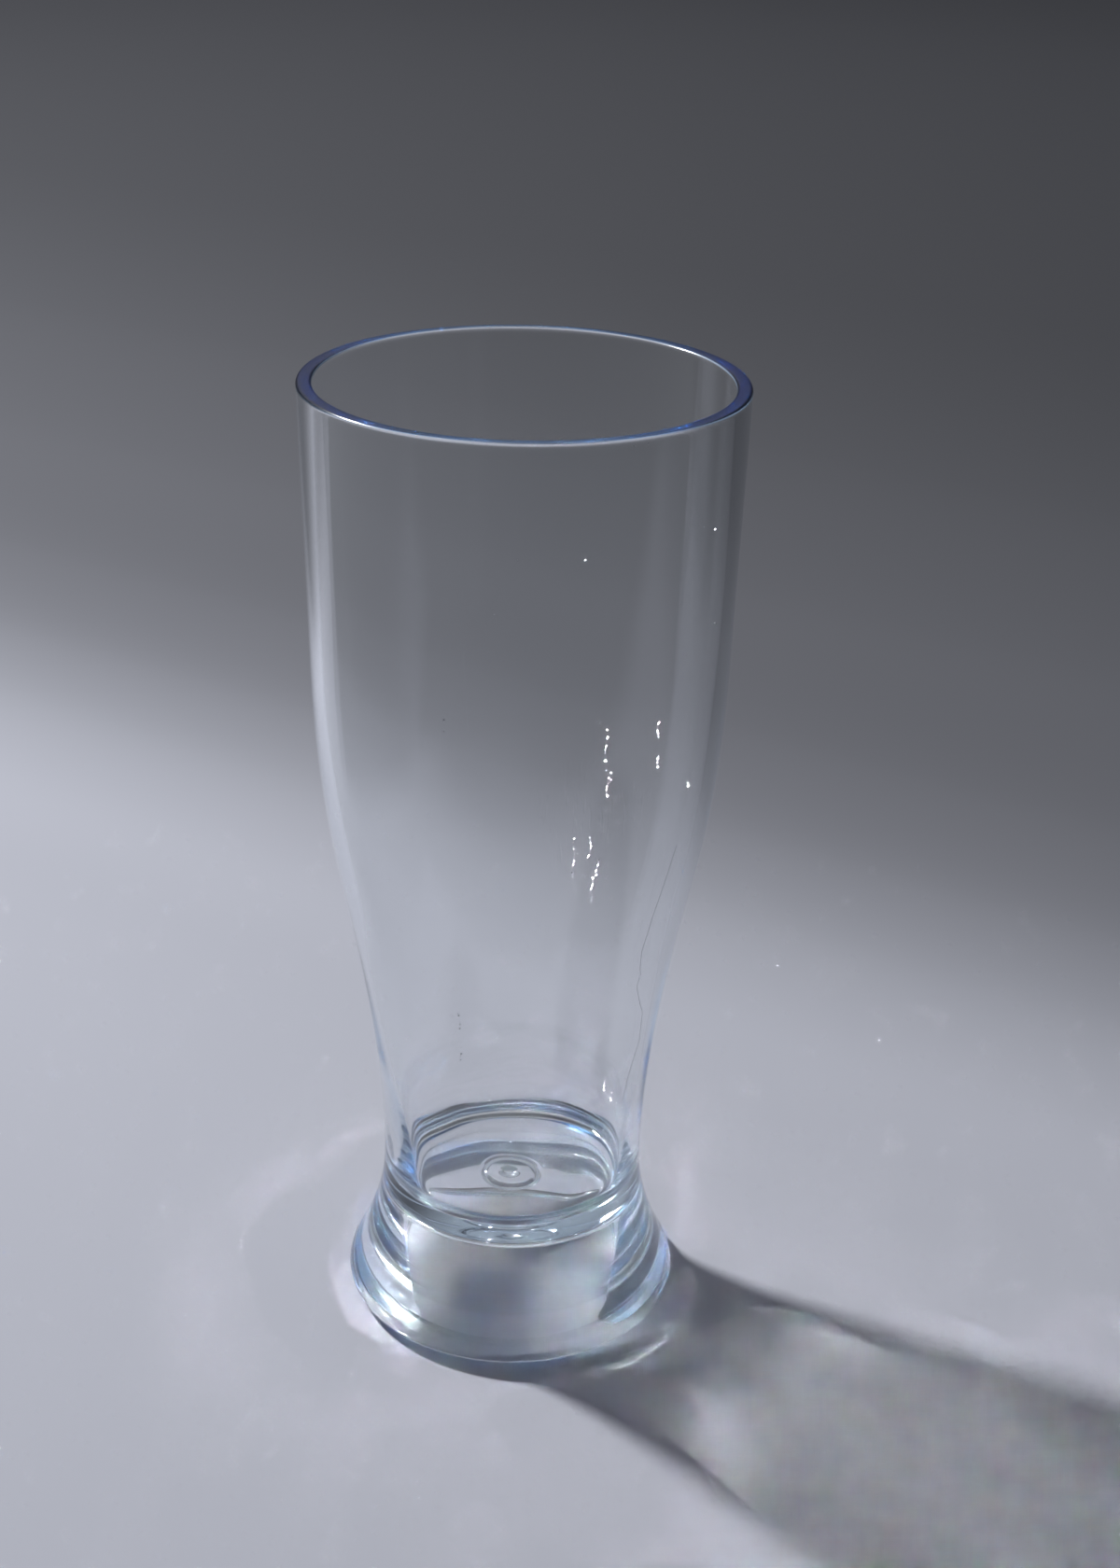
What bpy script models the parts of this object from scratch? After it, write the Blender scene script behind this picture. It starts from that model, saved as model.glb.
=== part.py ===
"""Wheat beer glass in clear plastic: a tapering bowl on a hollow, flared foot, moulded in one piece.

Units are metres and +Z is up. The origin is on the table, at the centre of the foot.
"""

import math

import bmesh
import bpy

# Heights along the outside
WAIST_HEIGHT = 0.0330  # table to the narrowest part
FLARE_RISE = 0.0655  # waist to the steepest part of the bowl
SHOULDER_RISE = 0.0500  # steepest part to the shoulder
RIM_RISE = 0.0515  # shoulder to the top of the rim

# Radii of the outside, and its slopes as radius gained per height
RIM_RADIUS = 0.0424
SIDE_SLOPE = 0.020
SHOULDER_RADIUS = 0.0410
FLARE_RADIUS = 0.0357
FLARE_SLOPE = 0.210
WAIST_RADIUS = 0.0272
FOOT_RADIUS = 0.0350
FOOT_SLOPE = -0.520
FOOT_EDGE_ROUND = 0.0044

# Wall of the bowl at each level, and its floor
RIM_WALL = 0.0030
RIM_ROUND = 0.0007  # of the two edges of its flat top
SHOULDER_WALL = 0.0025
FLARE_WALL = 0.0026
FLOOR_WALL = 0.0026
FLOOR_HEIGHT = 0.0276
FLOOR_THICKNESS = 0.0023
FLOOR_FILLET = 0.0060
INNER_FLOOR_SLOPE = 0.025  # draft of the inside just above its floor fillet

# Hollow of the foot, open below: a plain bore with the draft that lets it leave the mould
HOLLOW_TOP_RADIUS = 0.0260
HOLLOW_MOUTH_RADIUS = 0.0276
HOLLOW_DRAFT = -0.070
HOLLOW_FILLET = 0.0010
HOLLOW_EDGE_ROUND = 0.0012

# Gate mark under the floor: a low ring round the nub where the plastic came in
GATE_RING_RADIUS = 0.0055
GATE_RING_WIDTH = 0.0009
GATE_RING_DEPTH = 0.0004
GATE_NUB_RADIUS = 0.0016
GATE_NUB_DEPTH = 0.0006

# Faces
SEGMENTS = 56  # round the axis
CURVE_STEPS = 7  # along each stretch of the outline
ARC_STEPS = 4  # along each rounded edge
WELD = 0.000001  # points closer than this are one point
SHARP_ANGLE = math.radians(40)


def clear_scene():
    for old in list(bpy.data.objects):
        bpy.data.objects.remove(old)


def stretch(start, end, steps=CURVE_STEPS):
    """Points of the smooth curve between two stations, each a (height, radius, slope)."""
    low, low_radius, low_slope = start
    high, high_radius, high_slope = end
    span = high - low
    points = []
    for step in range(steps + 1):
        t = step / steps
        radius = (
            (2 * t**3 - 3 * t**2 + 1) * low_radius
            + (t**3 - 2 * t**2 + t) * span * low_slope
            + (3 * t**2 - 2 * t**3) * high_radius
            + (t**3 - t**2) * span * high_slope
        )
        points.append((radius, low + t * span))
    return points


def arc(centre, radius, start, end, steps=ARC_STEPS):
    """Points of a circular arc between two angles, in degrees."""
    points = []
    for step in range(steps + 1):
        angle = math.radians(start + (end - start) * step / steps)
        points.append((centre[0] + radius * math.cos(angle), centre[1] + radius * math.sin(angle)))
    return points


def through(stations):
    """One curve from station to station."""
    points = []
    for start, end in zip(stations, stations[1:]):
        points += stretch(start, end)
    return points


def lean(slope):
    """Angle, in degrees, that a wall with this slope makes with the upright."""
    return math.degrees(math.atan(slope))


def levels():
    """Heights of the flare, the shoulder and the rim."""
    flare = WAIST_HEIGHT + FLARE_RISE
    shoulder = flare + SHOULDER_RISE
    return flare, shoulder, shoulder + RIM_RISE


def outside():
    """Outer outline, from the rim's rounding down to the foot's flat underside."""
    flare, shoulder, top = levels()
    edge_tilt = lean(FOOT_SLOPE)
    edge_centre = (FOOT_RADIUS - FOOT_EDGE_ROUND, FOOT_EDGE_ROUND)
    edge = arc(edge_centre, FOOT_EDGE_ROUND, -edge_tilt, -90)
    stations = [
        (top - RIM_ROUND, RIM_RADIUS, SIDE_SLOPE),
        (shoulder, SHOULDER_RADIUS, SIDE_SLOPE),
        (flare, FLARE_RADIUS, FLARE_SLOPE),
        (WAIST_HEIGHT, WAIST_RADIUS, 0.0),
        (edge[0][1], edge[0][0], FOOT_SLOPE),
    ]
    return through(stations) + edge


def inside():
    """Inner outline, from the middle of the floor up to the rim's rounding."""
    flare, shoulder, top = levels()
    tilt = lean(INNER_FLOOR_SLOPE)
    wall_radius = WAIST_RADIUS - FLOOR_WALL
    fillet_centre = (wall_radius - FLOOR_FILLET, FLOOR_HEIGHT + FLOOR_FILLET)
    fillet = arc(fillet_centre, FLOOR_FILLET, -90, -tilt)
    stations = [
        (fillet[-1][1], fillet[-1][0], INNER_FLOOR_SLOPE),
        (flare, FLARE_RADIUS - FLARE_WALL, FLARE_SLOPE),
        (shoulder, SHOULDER_RADIUS - SHOULDER_WALL, SIDE_SLOPE),
        (top - RIM_ROUND, RIM_RADIUS - RIM_WALL, SIDE_SLOPE),
    ]
    return [(0.0, FLOOR_HEIGHT)] + fillet + through(stations)


def rim():
    """Flat top of the wall with its two rounded edges, from the inside over to the outside."""
    level = levels()[-1] - RIM_ROUND
    inner_edge = arc((RIM_RADIUS - RIM_WALL + RIM_ROUND, level), RIM_ROUND, 180, 90)
    outer_edge = arc((RIM_RADIUS - RIM_ROUND, level), RIM_ROUND, 90, 0)
    return inner_edge + outer_edge


def gate_mark(ceiling):
    """Outline of the ring and the nub under the floor, from the ring's outer side to the axis."""
    outer = GATE_RING_RADIUS + GATE_RING_WIDTH / 2
    inner = GATE_RING_RADIUS - GATE_RING_WIDTH / 2
    ring = [(outer, ceiling), (GATE_RING_RADIUS, ceiling - GATE_RING_DEPTH), (inner, ceiling)]
    nub_crest = ceiling - GATE_NUB_DEPTH
    return ring + [(GATE_NUB_RADIUS, ceiling), (GATE_NUB_RADIUS / 2, nub_crest), (0.0, nub_crest)]


def hollow():
    """Outline of the hollow, from the flat underside up to the middle of its ceiling."""
    ceiling = FLOOR_HEIGHT - FLOOR_THICKNESS
    tilt = lean(HOLLOW_DRAFT)
    edge_centre = (HOLLOW_MOUTH_RADIUS + HOLLOW_EDGE_ROUND, HOLLOW_EDGE_ROUND)
    edge = arc(edge_centre, HOLLOW_EDGE_ROUND, -90, -180 - tilt)
    fillet_centre = (HOLLOW_TOP_RADIUS - HOLLOW_FILLET, ceiling - HOLLOW_FILLET)
    fillet = arc(fillet_centre, HOLLOW_FILLET, -tilt, 90)
    stations = [
        (edge[-1][1], edge[-1][0], HOLLOW_DRAFT),
        (fillet[0][1], fillet[0][0], HOLLOW_DRAFT),
    ]
    return edge + through(stations) + fillet + gate_mark(ceiling)


def turned(name, outline):
    """Solid of revolution whose outline starts and ends on the axis."""
    bm = bmesh.new()
    verts = [bm.verts.new((radius, 0.0, height)) for radius, height in outline]
    for pair in zip(verts, verts[1:]):
        bm.edges.new(pair)
    bmesh.ops.remove_doubles(bm, verts=bm.verts, dist=WELD)
    bmesh.ops.spin(
        bm,
        geom=bm.verts[:] + bm.edges[:],
        cent=(0.0, 0.0, 0.0),
        axis=(0.0, 0.0, 1.0),
        angle=math.tau,
        steps=SEGMENTS,
        use_merge=True,
    )
    bmesh.ops.remove_doubles(bm, verts=bm.verts, dist=WELD)
    bmesh.ops.recalc_face_normals(bm, faces=bm.faces)
    mesh = bpy.data.meshes.new(name)
    bm.to_mesh(mesh)
    bm.free()
    mesh.shade_smooth()
    mesh.set_sharp_from_angle(angle=SHARP_ANGLE)
    solid = bpy.data.objects.new(name, mesh)
    bpy.context.scene.collection.objects.link(solid)
    return solid


def clear_plastic():
    material = bpy.data.materials.new("clear_plastic")
    material.use_nodes = True
    shader = material.node_tree.nodes["Principled BSDF"]
    shader.inputs["Base Color"].default_value = (0.86, 0.93, 1.0, 1.0)
    shader.inputs["Metallic"].default_value = 0.0
    shader.inputs["Roughness"].default_value = 0.04
    shader.inputs["IOR"].default_value = 1.57
    shader.inputs["Transmission Weight"].default_value = 1.0
    return material


def main():
    clear_scene()
    glass = turned("glass_body", inside() + rim() + outside() + hollow())
    glass.data.materials.append(clear_plastic())


main()
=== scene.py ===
import math

import bmesh
import bpy
import numpy as np
from mathutils import Matrix


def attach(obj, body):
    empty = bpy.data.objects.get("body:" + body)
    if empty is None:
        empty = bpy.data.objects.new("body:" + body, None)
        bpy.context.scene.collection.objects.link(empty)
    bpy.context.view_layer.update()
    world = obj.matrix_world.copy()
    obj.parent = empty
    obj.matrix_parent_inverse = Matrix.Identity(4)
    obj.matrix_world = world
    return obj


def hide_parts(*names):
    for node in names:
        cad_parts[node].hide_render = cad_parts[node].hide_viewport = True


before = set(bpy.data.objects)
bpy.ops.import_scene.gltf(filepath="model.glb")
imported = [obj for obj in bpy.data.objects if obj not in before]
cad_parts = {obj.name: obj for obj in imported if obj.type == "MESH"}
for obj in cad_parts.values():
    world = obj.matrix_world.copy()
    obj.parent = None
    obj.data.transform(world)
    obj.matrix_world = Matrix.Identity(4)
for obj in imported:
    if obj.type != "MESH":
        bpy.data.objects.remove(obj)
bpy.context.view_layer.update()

# Camera, from a fit to the photograph's outline and rim ellipse
PHOTO_HEIGHT = 1680  # pixels, the long side of the picture
FOCAL_PIXELS = 2592
SENSOR = 36.0  # millimetres along the long side
CAMERA_PLACE = (0.0, -0.4397, 0.3176)
CAMERA_PITCH = math.radians(24.454)  # downwards
CAMERA_YAW = math.radians(1.088)  # to the right
CAMERA_ROLL = math.radians(1.389)
CAMERA_NEAR = 0.01

# Fine shell, made from the outline of the solid
NODE = "glass_body"
SEGMENTS = 256  # round the axis
SPACING = 0.0009  # along the outline
WELD = 1e-6
FLAT = 1e-6
CORNER = math.radians(35)  # sharper turns of the outline stay corners
LONG_SIDE = 3.0  # a side this many times its neighbour sets the direction at their corner
LEVEL = 1e-4  # so does a side that rises less than this share of its length

# Waviness of the inside, left by the cooling of the thick lower wall
WAVE_DEPTH = 0.00009
WAVE_TERMS = ((3, 41.0, 0.4), (5, -67.0, 2.1), (8, 103.0, 4.0))  # lobes, radians per metre of height, phase
WAVE_START = 1 / 12  # share of the height over which these waves set in
FLOOR_WAVE_DEPTH = 0.00010
FLOOR_WAVE_REACH = 0.007  # height above the floor where its waves are deepest
FLOOR_WAVE_TERMS = ((4, 60.0, 0.9), (7, -90.0, 2.6), (11, 40.0, 1.3))

# Clear plastic
REFRACTION = 1.57
TINT = (0.31, 0.655, 0.93, 1.0)
TINT_DENSITY = 10.0
LIGHT_BOUNCES = 160  # light runs a long way inside the walls before it leaves them

# Wear of the surface
POLISH = (0.010, 0.060)  # roughness of the walls, from clean to dull places
POLISH_GRAIN = 90.0  # per metre
POLISH_DETAIL = 3.0
POLISH_LIMITS = (0.45, 0.75)  # of the noise between clean and dull
RIM_WEAR = (0.1985, 0.1998)  # heights over which the rim turns dull
RIM_ROUGHNESS = 0.18
RIM_GRAIN = 1400.0
RING_WEAR = (0.0001, 0.0008)  # the same for the ring that the foot stands on
RING_ROUGHNESS = 0.35
SCRATCH_GRAIN = (1500.0, 1500.0, 150.0)  # per metre: fine across, long upwards
SCRATCH_LIMITS = (0.60, 0.72)  # of the noise between smooth and scratched
SCRATCH_DEPTH = 0.00002
SCRATCH_PLACE = (0.0160, -0.0377, 0.1280)
SCRATCH_REACH = (0.003, 0.018)  # distances from there between which the scratches die out
FINE_DETAIL = 1.0  # of the noise in the scratches and on the rim

# Scuffs on the outside: rows of chips, each a degree round the axis, a lower and an upper height and a count
SCUFFS = (
    (-67.2, 0.1385, 0.1460, 8),
    (-66.2, 0.1315, 0.1360, 6),
    (-65.5, 0.1345, 0.1375, 4),
    (-70.0, 0.1190, 0.1240, 6),
    (-67.3, 0.1150, 0.1190, 6),
    (-68.5, 0.1120, 0.1155, 5),
    (-74.6, 0.1205, 0.1250, 6),
    (-74.5, 0.1165, 0.1195, 4),
    (-51.4, 0.1415, 0.1455, 5),
    (-50.6, 0.1355, 0.1385, 4),
    (-36.6, 0.1275, 0.1295, 3),
    (-109.1, 0.1450, 0.1478, 2),
    (-109.5, 0.0780, 0.0830, 5),
    (-109.7, 0.0700, 0.0740, 4),
    (-51.3, 0.0600, 0.0625, 4),
    (-46.3, 0.0565, 0.0590, 3),
    (-29.6, 0.1596, 0.1604, 1),
    (-96.4, 0.1688, 0.1692, 1),
    (-74.7, 0.1785, 0.1790, 1),
    (-91.0, 0.1788, 0.1793, 1),
    (-34.0, 0.1785, 0.1795, 1),
    (-63.3, 0.1988, 0.1992, 2),
    (-60.0, 0.1988, 0.1992, 2),
    (-58.6, 0.0115, 0.0125, 2),
    (-57.4, 0.0072, 0.0080, 2),
)
SCUFF_TURN = 7.3  # radians from chip to chip, so that no two look alike
SCUFF_TURN_PER_HEIGHT = 1000.0
SCUFF_SWAY = 0.32  # degrees to either side of the row
SCUFF_STRAY = (0.35, 3.1)  # how far a chip strays along the row, and its rate of change with the turn
CHIP_SIZE = 0.00023
CHIP_SIZES = (0.75, 0.35, 5.7)  # middle share of that size, its spread, and its rate of change with the turn
CHIP_THICKNESS = 0.5  # share of its size
CHIP_STAND = 0.00006  # of its face before the wall
CHIP_SHADES = ((0.55, 0.57, 0.61, 1.0), (0.88, 0.89, 0.92, 1.0))
CHIP_GRAIN = 3000.0
CHIP_DETAIL = 2.0
CHIP_ROUGHNESS = 0.05

# A long hairline down the right side: degrees round the axis, and heights
HAIRLINE = (
    (-37.9, 0.1161),
    (-40.7, 0.1084),
    (-43.0, 0.1014),
    (-44.6, 0.0930),
    (-43.4, 0.0886),
    (-42.1, 0.0867),
    (-43.0, 0.0846),
    (-41.9, 0.0828),
    (-38.2, 0.0786),
    (-35.0, 0.0758),
    (-32.8, 0.0683),
    (-36.8, 0.0602),
    (-37.9, 0.0549),
)
HAIRLINE_STEP = 0.0005
HAIRLINE_WIDTH = 0.00012
HAIRLINE_STAND = 0.00003

# Floor, a wide disc about the glass, with light and shadow painted into its colour
STAGE_OUTLINE = ((0.0, 0.0), (0.5, 0.0), (3.5, 0.0))
STAGE_SEGMENTS = 96
STAGE_DROP = 0.00005  # below the foot, so that the two never coincide
FLOOR_ROUGHNESS = 0.85
FLOOR_SPECULAR = 0.15
FLOOR_TINT = (0.94, 0.965, 1.095)
SHADOW_FADE_DIRECTION = (0.545, 0.839, 0.0)  # to the back and the right, where a painted shadow edge darkens the floor
SHADOW_FADE_STOPS = (  # distance that way, and the grey there
    (0.02, 0.497),
    (0.08, 0.480),
    (0.13, 0.462),
    (0.18, 0.343),
    (0.23, 0.221),
    (0.30, 0.150),
    (0.42, 0.120),
    (0.60, 0.089),
    (0.90, 0.067),
    (2.00, 0.078),
)
FLOOR_PAINTED_SHADOW = (0.16, 0.163, 0.175, 1.0)  # painted shadow outside the strip of painted light that the glass stands on
STRIP_EDGE = (0.503, 0.865, 0.0)  # across the strip's front edge, at the far left
STRIP_START = (-0.042, -0.030)
STRIP_NEAR = (-0.27, -0.20)  # X where the strip widens towards the glass
STRIP_FRONT = (-0.26, -0.16)  # Y where it ends in front of the glass
LAMP_SIDE = (-0.98, -0.197, 0.0)  # towards the lamp, where a patch of painted shade makes up for its strong light
LAMP_SIDE_EDGE = (0.115, 0.190)
LAMP_SIDE_DEPTH = (0.25, 0.40)  # Y where that patch starts
LAMP_SIDE_SHARE = 0.5

# Lamp at the back left
LAMP_PLACE = (-1.230, 0.927, 1.570)
LAMP_RADIUS = 0.09
LAMP_POWER = 196

# Soft light from all round, brightest at the back
SKY_DIRECTION = (-0.196, 0.539, 0.819)
SKY_SPREAD = (0.62, 0.88)
SKY_DIM = (0.048, 0.050, 0.056, 1.0)
SKY_BRIGHT = (0.37, 0.38, 0.405, 1.0)

X_AXIS = (1.0, 0.0, 0.0)
Y_AXIS = (0.0, 1.0, 0.0)
Z_AXIS = (0.0, 0.0, 1.0)


def cad_outline(node):
    """Corners (radius, height) of a turned node, from the middle of the floor to the middle of the hollow.

    The walk starts at the corner nearest the axis. Flat rings may have no edge in the plane of the outline,
    so a walk that comes to an end goes on at the nearest corner of the same height.
    """
    bm = bmesh.new()
    bm.from_mesh(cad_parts[node].data)
    bmesh.ops.remove_doubles(bm, verts=bm.verts, dist=WELD)
    left = {v for v in bm.verts if abs(v.co.y) < FLAT and v.co.x > 0.0}
    here = min(left, key=lambda v: v.co.x)
    corners = [(0.0, here.co.z)]
    while True:
        left.remove(here)
        corners.append((here.co.x, here.co.z))
        if not left:
            break
        ahead = [v for v in (edge.other_vert(here) for edge in here.link_edges) if v in left]
        level = [v for v in left if abs(v.co.z - here.co.z) < FLAT]
        here = min(ahead or level, key=lambda v: (v.co - here.co).length)
    corners.append((0.0, here.co.z))
    bm.free()
    return np.array(corners[::-1])


def directions(corners):
    """Unit directions of the smooth curve into and out of each corner, and the lengths of the sides."""
    sides = np.diff(corners, axis=0)
    lengths = np.linalg.norm(sides, axis=1)
    units = sides / lengths[:, None]
    into = [units[0]]
    out = [units[0]]
    for before, after, back, ahead in zip(units, units[1:], lengths, lengths[1:]):
        turn = math.acos(max(-1.0, min(1.0, float(before @ after))))
        if turn > CORNER:
            into.append(before)
            out.append(after)
            continue
        if back > LONG_SIDE * ahead or abs(before[1]) < LEVEL:
            both = before
        elif ahead > LONG_SIDE * back or abs(after[1]) < LEVEL:
            both = after
        else:
            both = before * ahead + after * back
            both = both / np.linalg.norm(both)
        into.append(both)
        out.append(both)
    into.append(units[-1])
    out.append(units[-1])
    return into, out, lengths


def refined(corners):
    """The outline as a smooth curve through its corners, with points about SPACING apart."""
    into, out, lengths = directions(corners)
    points = []
    for k, length in enumerate(lengths):
        steps = max(2, math.ceil(length / SPACING))
        for step in range(steps):
            t = step / steps
            points.append(
                (2 * t**3 - 3 * t**2 + 1) * corners[k]
                + (t**3 - 2 * t**2 + t) * length * out[k]
                + (3 * t**2 - 2 * t**3) * corners[k + 1]
                + (t**3 - t**2) * length * into[k + 1]
            )
    points.append(corners[-1])
    return np.array(points)


def new_object(name, data):
    thing = bpy.data.objects.new(name, data)
    bpy.context.scene.collection.objects.link(thing)
    return thing


def mesh_of(name, verts, faces):
    """Mesh with all its faces turned outwards."""
    mesh = bpy.data.meshes.new(name)
    mesh.from_pydata(verts, [], faces)
    mesh.validate()
    bm = bmesh.new()
    bm.from_mesh(mesh)
    bmesh.ops.recalc_face_normals(bm, faces=bm.faces)
    bm.to_mesh(mesh)
    bm.free()
    return mesh


def turned_mesh(name, outline, segments, radius_at=None):
    """Object made by turning an outline about the axis. The outline's ends may lie on the axis."""
    verts = []
    faces = []
    rings = []
    for index, (radius, height) in enumerate(outline):
        start = len(verts)
        if radius < WELD:
            verts.append((0.0, 0.0, height))
            rings.append([start] * segments)
            continue
        for step in range(segments):
            angle = math.tau * step / segments
            r = radius_at(index, radius, angle, height) if radius_at else radius
            verts.append((r * math.cos(angle), r * math.sin(angle), height))
        rings.append(list(range(start, start + segments)))
    for low, high in zip(rings, rings[1:]):
        for step in range(segments):
            after = (step + 1) % segments
            corners = (low[step], low[after], high[after], high[step])
            faces.append(tuple(dict.fromkeys(corners)))
    mesh = mesh_of(name, verts, faces)
    mesh.shade_smooth()
    return new_object(name, mesh)


def waves(terms, angle, level):
    return sum(math.sin(n * angle + k * level + phase) for n, k, phase in terms)


def glass_shell(outline):
    """The whole moulding, with a slightly wavy inside."""
    top = int(outline[:, 1].argmax())
    floor = outline[0, 1]
    height = outline[top, 1] - floor

    def wavy(index, radius, angle, level):
        if index >= top or level <= floor:
            return radius
        share = (level - floor) / height
        fade = min(1.0, share / WAVE_START) * (1 - share) ** 2
        rise = (level - floor) / FLOOR_WAVE_REACH
        low = rise * math.exp(1 - rise)
        wave = WAVE_DEPTH * fade * waves(WAVE_TERMS, angle, level)
        return radius + wave + FLOOR_WAVE_DEPTH * low * waves(FLOOR_WAVE_TERMS, angle, level)

    return turned_mesh("glass_shell", outline, SEGMENTS, wavy)


def outer_wall(outline):
    """The outer half of an outline, from the foot's edge up to the rim."""
    wall = outline[int(outline[:, 1].argmax()) + 1:]
    return wall[:int(wall[:, 0].argmin())][::-1]


def on_wall(wall, degrees, height, stand):
    """Point that stands a little off the outer wall."""
    radius = float(np.interp(height, wall[:, 1], wall[:, 0])) + stand
    angle = math.radians(degrees)
    return np.array((radius * math.cos(angle), radius * math.sin(angle), height))


def add_chip(verts, faces, middle, turn):
    """A three-sided chip whose face is turned to throw the lamp's light forwards."""
    ways = [np.array(end) - middle for end in (CAMERA_PLACE, LAMP_PLACE)]
    facing = sum(way / np.linalg.norm(way) for way in ways)
    facing /= np.linalg.norm(facing)
    across = np.cross(facing, Z_AXIS)
    across /= np.linalg.norm(across)
    along = np.cross(facing, across)
    share, spread, rate = CHIP_SIZES
    size = CHIP_SIZE * (share + spread * math.sin(rate * turn))
    start = len(verts)
    for depth in (0.0, -CHIP_THICKNESS * size):
        for corner in range(3):
            way = math.tau * corner / 3 + turn
            verts.append(middle + size * (math.cos(way) * across + math.sin(way) * along) + depth * facing)
    faces.append((start, start + 1, start + 2))
    faces.append((start + 5, start + 4, start + 3))
    for corner in range(3):
        after = (corner + 1) % 3
        faces.append((start + corner, start + 3 + corner, start + 3 + after, start + after))


def add_hairline(verts, faces, wall):
    """A low ridge with a three-cornered section along the hairline."""
    degrees, heights = np.array(HAIRLINE)[::-1].T
    levels = np.arange(heights[0], heights[-1], HAIRLINE_STEP)
    start = len(verts)
    for level in levels:
        angle = float(np.interp(level, heights, degrees))
        half = math.degrees(HAIRLINE_WIDTH / 2 / np.interp(level, wall[:, 1], wall[:, 0]))
        verts.append(on_wall(wall, angle - half, level, 0.0))
        verts.append(on_wall(wall, angle, level, HAIRLINE_STAND))
        verts.append(on_wall(wall, angle + half, level, 0.0))
    for row in range(start, len(verts) - 3, 3):
        for side in range(3):
            after = (side + 1) % 3
            faces.append((row + side, row + after, row + 3 + after, row + 3 + side))
    faces.append((start, start + 1, start + 2))
    faces.append((len(verts) - 1, len(verts) - 2, len(verts) - 3))


def wall_scuffs(outline):
    """Chips and a hairline on the outer wall, from use."""
    wall = outer_wall(outline)
    stray, rate = SCUFF_STRAY
    verts = []
    faces = []
    for degrees, low, high, count in SCUFFS:
        for step in range(count):
            turn = SCUFF_TURN * step + degrees + SCUFF_TURN_PER_HEIGHT * low
            height = low + (high - low) * (step + 0.5 + stray * math.sin(rate * turn)) / count
            angle = degrees + SCUFF_SWAY * math.sin(turn)
            add_chip(verts, faces, on_wall(wall, angle, height, CHIP_STAND), turn)
    add_hairline(verts, faces, wall)
    return new_object("wall_scuffs", mesh_of("wall_scuffs", verts, faces))


def new_material(name):
    material = bpy.data.materials.new(name)
    material.use_nodes = True
    tree = material.node_tree
    return material, tree, tree.nodes["Principled BSDF"]


def position(tree):
    return tree.nodes.new("ShaderNodeNewGeometry").outputs["Position"]


def mapped(tree, value, limits, ends=(0.0, 1.0), interpolation="SMOOTHSTEP"):
    """Rise of a value from one end to the other between two limits."""
    node = tree.nodes.new("ShaderNodeMapRange")
    node.interpolation_type = interpolation
    node.inputs["From Min"].default_value = limits[0]
    node.inputs["From Max"].default_value = limits[1]
    node.inputs["To Min"].default_value = ends[0]
    node.inputs["To Max"].default_value = ends[1]
    tree.links.new(value, node.inputs["Value"])
    return node.outputs["Result"]


def joined(tree, operation, first, second):
    node = tree.nodes.new("ShaderNodeMath")
    node.operation = operation
    tree.links.new(first, node.inputs[0])
    tree.links.new(second, node.inputs[1])
    return node.outputs["Value"]


def against(tree, operation, vector, constant):
    """Vector operation with a constant, which gives a vector or, for some operations, a value."""
    node = tree.nodes.new("ShaderNodeVectorMath")
    node.operation = operation
    node.inputs[1].default_value = constant
    tree.links.new(vector, node.inputs[0])
    return node.outputs["Vector" if operation == "MULTIPLY" else "Value"]


def noise(tree, vector, scale, detail):
    node = tree.nodes.new("ShaderNodeTexNoise")
    node.inputs["Scale"].default_value = scale
    node.inputs["Detail"].default_value = detail
    tree.links.new(vector, node.inputs["Vector"])
    return node.outputs["Fac"]


def mixed(tree, factor, first):
    """Mix of two colours, of which the second is still to be set."""
    node = tree.nodes.new("ShaderNodeMix")
    node.data_type = "RGBA"
    node.inputs["A"].default_value = first
    tree.links.new(factor, node.inputs["Factor"])
    return node


def whitened_plastic():
    """The pale, uneven plastic of the chips."""
    material, tree, shader = new_material("whitened_plastic")
    shader.inputs["Roughness"].default_value = CHIP_ROUGHNESS
    shader.inputs["IOR"].default_value = REFRACTION
    shades = mixed(tree, noise(tree, position(tree), CHIP_GRAIN, CHIP_DETAIL), CHIP_SHADES[0])
    shades.inputs["B"].default_value = CHIP_SHADES[1]
    tree.links.new(shades.outputs["Result"], shader.inputs["Base Color"])
    return material


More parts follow.
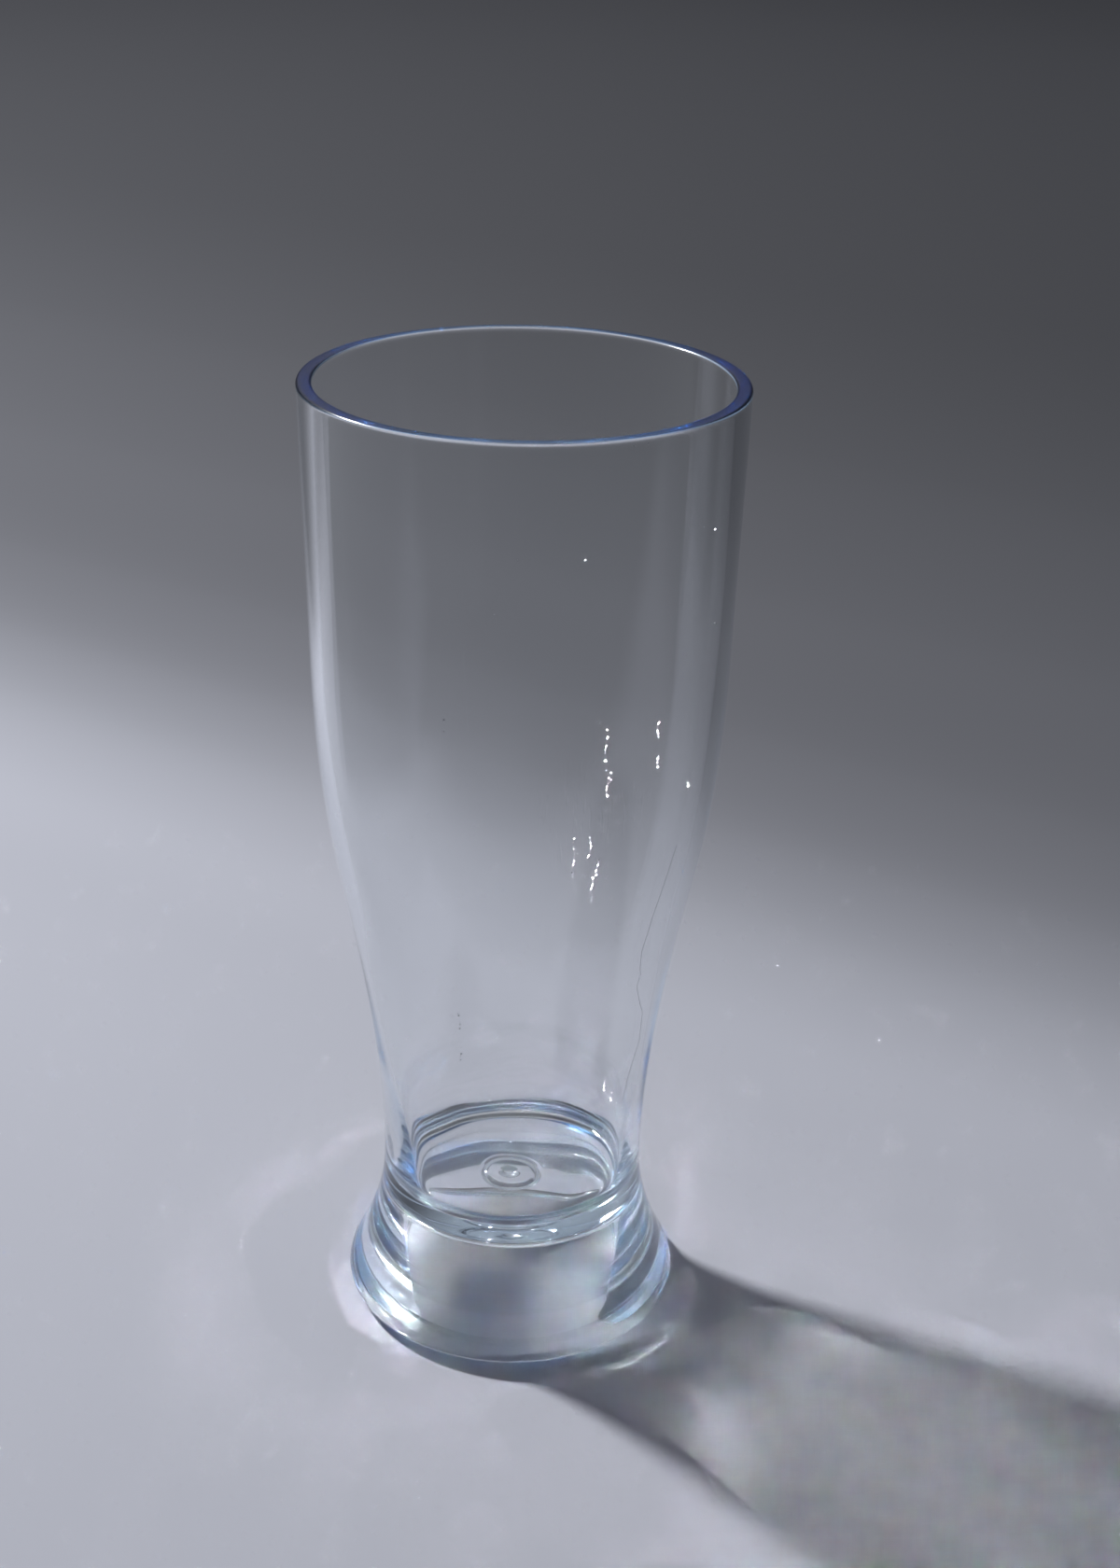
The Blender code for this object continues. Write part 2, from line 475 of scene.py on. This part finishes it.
def clear_plastic():
    """Clear blue-tinted plastic, dull at the rim and the standing ring, with a patch of fine scratches."""
    material, tree, shader = new_material("polished_clear_plastic")
    shader.inputs["Base Color"].default_value = (1.0, 1.0, 1.0, 1.0)
    shader.inputs["IOR"].default_value = REFRACTION
    shader.inputs["Transmission Weight"].default_value = 1.0
    tint = tree.nodes.new("ShaderNodeVolumeAbsorption")
    tint.inputs["Color"].default_value = TINT
    tint.inputs["Density"].default_value = TINT_DENSITY
    tree.links.new(tint.outputs["Volume"], tree.nodes["Material Output"].inputs["Volume"])

    place = position(tree)
    parts = tree.nodes.new("ShaderNodeSeparateXYZ")
    tree.links.new(place, parts.inputs["Vector"])
    level = parts.outputs["Z"]

    polish = mapped(tree, noise(tree, place, POLISH_GRAIN, POLISH_DETAIL), POLISH_LIMITS, POLISH)
    rim = mapped(tree, level, RIM_WEAR, (0.0, RIM_ROUGHNESS))
    ring = mapped(tree, level, RING_WEAR, (RING_ROUGHNESS, 0.0))
    worn = joined(tree, "MAXIMUM", rim, ring)
    tree.links.new(joined(tree, "MAXIMUM", worn, polish), shader.inputs["Roughness"])

    grain = noise(tree, against(tree, "MULTIPLY", place, SCRATCH_GRAIN), 1.0, FINE_DETAIL)
    strokes = mapped(tree, grain, SCRATCH_LIMITS)
    away = against(tree, "DISTANCE", place, SCRATCH_PLACE)
    marked = joined(tree, "MULTIPLY", strokes, mapped(tree, away, SCRATCH_REACH, (1.0, 0.0)))
    chips = noise(tree, place, RIM_GRAIN, FINE_DETAIL)
    chipped = joined(tree, "MULTIPLY", chips, mapped(tree, level, RIM_WEAR))
    relief = tree.nodes.new("ShaderNodeBump")
    relief.inputs["Distance"].default_value = SCRATCH_DEPTH
    tree.links.new(joined(tree, "ADD", marked, chipped), relief.inputs["Height"])
    tree.links.new(relief.outputs["Normal"], shader.inputs["Normal"])
    return material


def painted_shadow_fade(tree, place):
    """Pale lavender grey that fades to a darker grey to the back and the right, as a painted shadow edge."""
    near = SHADOW_FADE_STOPS[0][0]
    far = SHADOW_FADE_STOPS[-1][0]
    ramp = tree.nodes.new("ShaderNodeValToRGB")
    ramp.color_ramp.interpolation = "CARDINAL"
    stops = ramp.color_ramp.elements
    while len(stops) < len(SHADOW_FADE_STOPS):
        stops.new(0.5)
    for stop, (distance, grey) in zip(stops, SHADOW_FADE_STOPS):
        stop.position = (distance - near) / (far - near)
        stop.color = [grey * share for share in FLOOR_TINT] + [1.0]
    # Painted shadow edge: the floor darkens with distance to the back and the right
    away = against(tree, "DOT_PRODUCT", place, SHADOW_FADE_DIRECTION)
    tree.links.new(mapped(tree, away, (near, far), interpolation="LINEAR"), ramp.inputs["Fac"])
    return ramp.outputs["Color"]


def floor_painted_light_and_shadow():
    """Pale strip of painted light that the glass stands on, with painted shadow outside it and painted shade
    near the lamp.
    """
    material, tree, shader = new_material("floor_painted_light_and_shadow")
    shader.inputs["Roughness"].default_value = FLOOR_ROUGHNESS
    shader.inputs["Specular IOR Level"].default_value = FLOOR_SPECULAR
    place = position(tree)

    def along(direction, limits):
        return mapped(tree, against(tree, "DOT_PRODUCT", place, direction), limits)

    # Mask of the strip of painted light; the grey outside it is painted shadow
    strip = joined(tree, "MAXIMUM", along(STRIP_EDGE, STRIP_START), along(X_AXIS, STRIP_NEAR))
    pale = joined(tree, "MULTIPLY", strip, along(Y_AXIS, STRIP_FRONT))
    light_and_shadow_paint = mixed(tree, pale, FLOOR_PAINTED_SHADOW)
    tree.links.new(painted_shadow_fade(tree, place), light_and_shadow_paint.inputs["B"])
    # Patch of painted shade on the lamp's side, which makes up for the lamp's strong light
    patch = joined(tree, "MULTIPLY", along(LAMP_SIDE, LAMP_SIDE_EDGE), along(Y_AXIS, LAMP_SIDE_DEPTH))
    shade = mapped(tree, patch, (0.0, 1.0), (1.0, LAMP_SIDE_SHARE), "LINEAR")
    shaded = tree.nodes.new("ShaderNodeVectorMath")
    shaded.operation = "SCALE"
    tree.links.new(light_and_shadow_paint.outputs["Result"], shaded.inputs[0])
    tree.links.new(shade, shaded.inputs["Scale"])
    tree.links.new(shaded.outputs["Vector"], shader.inputs["Base Color"])
    return material


def make_stage():
    outline = np.array(STAGE_OUTLINE) - (0.0, STAGE_DROP)
    floor = turned_mesh("studio_sweep", outline, STAGE_SEGMENTS)
    floor.data.materials.append(floor_painted_light_and_shadow())


def make_lights():
    light = bpy.data.lights.new("window", "POINT")
    light.energy = LAMP_POWER
    light.shadow_soft_size = LAMP_RADIUS
    new_object("window", light).location = LAMP_PLACE
    world = bpy.data.worlds.new("studio")
    bpy.context.scene.world = world
    world.use_nodes = True
    tree = world.node_tree
    sky = tree.nodes["Background"]
    sky.inputs["Strength"].default_value = 1.0
    where = tree.nodes.new("ShaderNodeTexCoord").outputs["Generated"]
    side = against(tree, "DOT_PRODUCT", where, SKY_DIRECTION)
    shades = mixed(tree, mapped(tree, side, SKY_SPREAD), SKY_DIM)
    shades.inputs["B"].default_value = SKY_BRIGHT
    tree.links.new(shades.outputs["Result"], sky.inputs["Color"])


def make_camera():
    data = bpy.data.cameras.new("camera")
    data.sensor_width = SENSOR
    data.lens = SENSOR * FOCAL_PIXELS / PHOTO_HEIGHT
    data.clip_start = CAMERA_NEAR
    camera = new_object("camera", data)
    turn = Matrix.Rotation(-CAMERA_YAW, 4, "Z")
    tilt = Matrix.Rotation(math.pi / 2 - CAMERA_PITCH, 4, "X")
    roll = Matrix.Rotation(CAMERA_ROLL, 4, "Z")
    camera.matrix_world = Matrix.Translation(CAMERA_PLACE) @ turn @ tilt @ roll
    bpy.context.scene.camera = camera


def make_glass():
    outline = refined(cad_outline(NODE))
    shell = glass_shell(outline)
    shell.data.materials.append(clear_plastic())
    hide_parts(NODE)
    scuffs = wall_scuffs(outline)
    scuffs.data.materials.append(whitened_plastic())
    for piece in (shell, scuffs):
        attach(piece, "root")


make_glass()
make_stage()
make_lights()
make_camera()
bpy.context.scene.view_settings.view_transform = "Standard"
bpy.context.scene.cycles.max_bounces = LIGHT_BOUNCES
bpy.context.scene.cycles.glossy_bounces = LIGHT_BOUNCES
bpy.context.scene.cycles.transmission_bounces = LIGHT_BOUNCES
bpy.context.scene.cycles.sample_clamp_indirect = 0.0
bpy.context.scene.cycles.blur_glossy = 0.0
